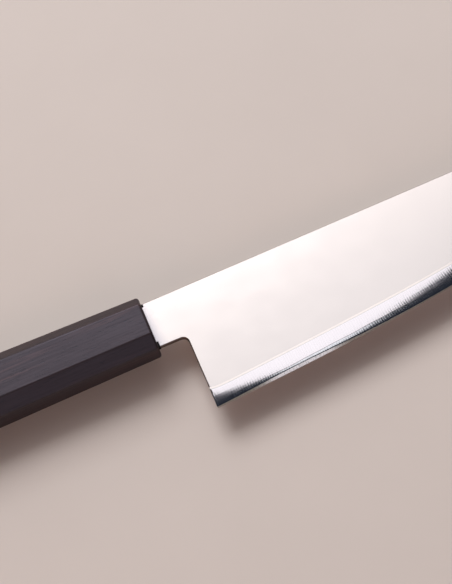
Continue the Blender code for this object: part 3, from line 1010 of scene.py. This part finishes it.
def black_resin(sizes):
    """Black epoxy, pressed into the mouth and wiped off.

    Black, bumped and rough, and with its shine turned well down besides: painted shade, for the shadow
    that fills the recessed notch.
    """
    material, tree = new_finish("black_epoxy_painted_shade")
    lumps = grain(tree, along=0.8, across=0.8)
    # Painted shade: the shine is turned down so that the seal renders as dark as the shadow in the notch
    inputs = {"IOR": 1.5, "Specular IOR Level": 0.15}
    rough = (lumps, 0.5, 0.8)
    return close_finish(material, sizes.seal_colour, inputs, rough, relief=(lumps, 30))


def amber_resin(sizes):
    """Cast epoxy round the tang, hidden in the handle: amber, with a cloudy skin."""
    material, tree = new_finish("cast_amber_epoxy")
    clouds = grain(tree, along=6, across=4)
    tone = shaded(tree, clouds, sizes.bed_colour, level=0.7, span=None)
    return close_finish(material, tone, {"IOR": 1.5}, rough=(clouds, 0.3, 0.5))


# Stage

# How far towards straight behind the knife, and straight up, each part of the room gives way
WALL_SPAN = (0.28, 0.48)
LOW_SPAN = (0.1, 0.4)


def pale_stone(stage):
    """Honed pale stone: matt, with clouds a few centimetres wide that hardly show."""
    material, tree = new_finish("honed_pale_stone")
    clouds = grain(tree, along=60, across=60, detail=5)
    tone = shaded(tree, clouds, stage.floor_colour, level=0.93, span=None)
    return close_finish(material, tone, {"Roughness": 0.75, "Specular IOR Level": 0.3})


def lay_floor(stage):
    """A level floor, wide enough to fill the view from 20 degrees up."""

    def sheet(shape):
        reach = stage.floor_reach
        corners = ((-reach, -reach), (reach, -reach), (reach, reach), (-reach, reach))
        shape.faces.new([shape.verts.new((x, y, 0)) for x, y in corners])

    floor = new_object("floor", sheet, (pale_stone(stage),))
    floor.location = (0, 0, 0)


def facing_knife(spot):
    """The place and turn of a lamp that looks at the handle's face from a spot."""
    way = Vector(spot)
    return Matrix.Translation(PLACE + way) @ (-way).to_track_quat("-Z", "Y").to_matrix().to_4x4()


def hang_lamp(name, side, level, spot, tone=WHITE):
    """A square lamp at its place, whose face has a brightness of level."""
    lamp = bpy.data.lights.new(name, "AREA")
    lamp.shape = "SQUARE"
    lamp.size = side
    lamp.energy = level * math.pi * side**2
    lamp.color = tone[:3]
    obj = bpy.data.objects.new(name, lamp)
    obj.matrix_world = spot
    bpy.context.collection.objects.link(obj)


def light_knife(stage):
    """A level softbox overhead, a stronger key lamp behind and a weak, warm card in front."""
    half = stage.softbox_side / 2
    turn = Matrix.Rotation(stage.softbox_turn, 4, "Z")
    corner = Matrix.Translation(PLACE + Vector(stage.softbox_corner))
    spot = corner @ turn @ Matrix.Translation((half, half, 0))
    hang_lamp("level_softbox", stage.softbox_side, stage.softbox_level, spot)
    hang_lamp("key_lamp", stage.key_side, stage.key_level, facing_knife(stage.key_spot))
    card = facing_knife(stage.card_spot)
    hang_lamp("warm_card", stage.card_side, stage.card_level, card, stage.card_colour)


def light_room(stage):
    """A room that is paler behind the knife, with a window in front and a dark patch overhead."""
    world = bpy.data.worlds.new("pale_room")
    bpy.context.scene.world = world
    world.use_nodes = True
    tree = world.node_tree
    tree.nodes.clear()
    way = add(tree, "ShaderNodeTexCoord").outputs["Generated"]
    parts = add(tree, "ShaderNodeSeparateXYZ", {0: way}).outputs
    walls = tinted(tree, parts["Y"], stage.near_colour, stage.wall_colour, span=WALL_SPAN)
    room = tinted(tree, parts["Z"], stage.low_colour, walls, span=LOW_SPAN)
    patches = (
        (stage.window_way, stage.window_colour, stage.window_inner, stage.window_outer),
        (stage.flag_way, stage.flag_colour, stage.flag_inner, stage.flag_outer),
    )
    for middle, tone, inner, outer in patches:
        ends = {0: way, 1: Vector(middle).normalized()}
        dot = add(tree, "ShaderNodeVectorMath", ends, operation="DOT_PRODUCT").outputs["Value"]
        room = tinted(tree, dot, room, tone, span=(math.cos(outer), math.cos(inner)))
    shown = add(tree, "ShaderNodeBackground", {"Color": room})
    backdrop = add(tree, "ShaderNodeBackground", {"Color": stage.floor_colour})
    seen = add(tree, "ShaderNodeLightPath").outputs["Is Camera Ray"]
    inputs = {0: seen, 1: shown.outputs[0], 2: backdrop.outputs[0]}
    chosen = add(tree, "ShaderNodeMixShader", inputs)
    add(tree, "ShaderNodeOutputWorld", {"Surface": chosen.outputs[0]})


def place_camera(stage):
    """The camera of the reference view, set by its aim, its direction and its roll."""
    scene = bpy.context.scene
    camera = bpy.data.cameras.new("camera")
    camera.lens = stage.lens
    obj = bpy.data.objects.new("camera", camera)
    scene.collection.objects.link(obj)
    level = math.cos(stage.elevation)
    x = math.sin(stage.azimuth) * level
    y = -math.cos(stage.azimuth) * level
    back = Vector((x, y, math.sin(stage.elevation)))
    aim = PLACE + Vector((stage.aim_ahead, stage.aim_above, 0))
    facing = (-back).to_track_quat("-Z", "Y").to_matrix().to_4x4()
    spot = Matrix.Translation(aim + back * stage.distance)
    obj.matrix_world = spot @ facing @ Matrix.Rotation(stage.roll, 4, "Z")
    scene.camera = obj


def set_stage(stage):
    lay_floor(stage)
    light_room(stage)
    light_knife(stage)
    place_camera(stage)
    bpy.context.scene.view_settings.view_transform = "Standard"


# Add-on


class SANTOKU_OT_grind_blade(bpy.types.Operator):
    """Builds the core and both claddings, ground and trimmed to one outline"""

    bl_idname = "santoku.grind_blade"
    bl_label = "Grind the blade"

    def execute(self, context):
        grind_blade(context.scene.santoku.blade)
        return {"FINISHED"}


class SANTOKU_OT_shape_handle(bpy.types.Operator):
    """Builds the octagonal ebony handle"""

    bl_idname = "santoku.shape_handle"
    bl_label = "Shape the handle"

    def execute(self, context):
        shape_handle(context.scene.santoku.handle)
        return {"FINISHED"}


class SANTOKU_OT_dress_mouth(bpy.types.Operator):
    """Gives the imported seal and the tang's bed their finishes"""

    bl_idname = "santoku.dress_mouth"
    bl_label = "Dress the mouth"

    def execute(self, context):
        dress_mouth(context.scene.santoku.handle)
        return {"FINISHED"}


class SANTOKU_OT_set_stage(bpy.types.Operator):
    """Lays the floor, hangs the lamps and places the camera"""

    bl_idname = "santoku.set_stage"
    bl_label = "Set the stage"

    def execute(self, context):
        set_stage(context.scene.santoku.stage)
        return {"FINISHED"}


STEPS = (
    SANTOKU_OT_grind_blade,
    SANTOKU_OT_shape_handle,
    SANTOKU_OT_dress_mouth,
    SANTOKU_OT_set_stage,
)


class SANTOKU_PT_panel(bpy.types.Panel):
    """Lists the sizes, the colours and the steps"""

    bl_idname = "SANTOKU_PT_panel"
    bl_label = "Santoku Knife"
    bl_space_type = "VIEW_3D"
    bl_region_type = "UI"
    bl_category = "Knife"

    def draw(self, context):
        settings = context.scene.santoku
        for step in STEPS:
            self.layout.operator(step.bl_idname)
        for group in (settings.blade, settings.handle, settings.stage):
            column = self.layout.box().column()
            for name in group.__annotations__:
                column.prop(group, name)


GROUPS = (BladeSizes, HandleSizes, StageSizes, KnifeSettings)


def register():
    for cls in GROUPS + STEPS + (SANTOKU_PT_panel,):
        bpy.utils.register_class(cls)
    bpy.types.Scene.santoku = bpy.props.PointerProperty(type=KnifeSettings)


def unregister():
    del bpy.types.Scene.santoku
    for cls in reversed(GROUPS + STEPS + (SANTOKU_PT_panel,)):
        bpy.utils.unregister_class(cls)


def main():
    register()
    bpy.ops.santoku.grind_blade()
    bpy.ops.santoku.shape_handle()
    bpy.ops.santoku.dress_mouth()
    bpy.ops.santoku.set_stage()


if __name__ == "__main__":
    main()
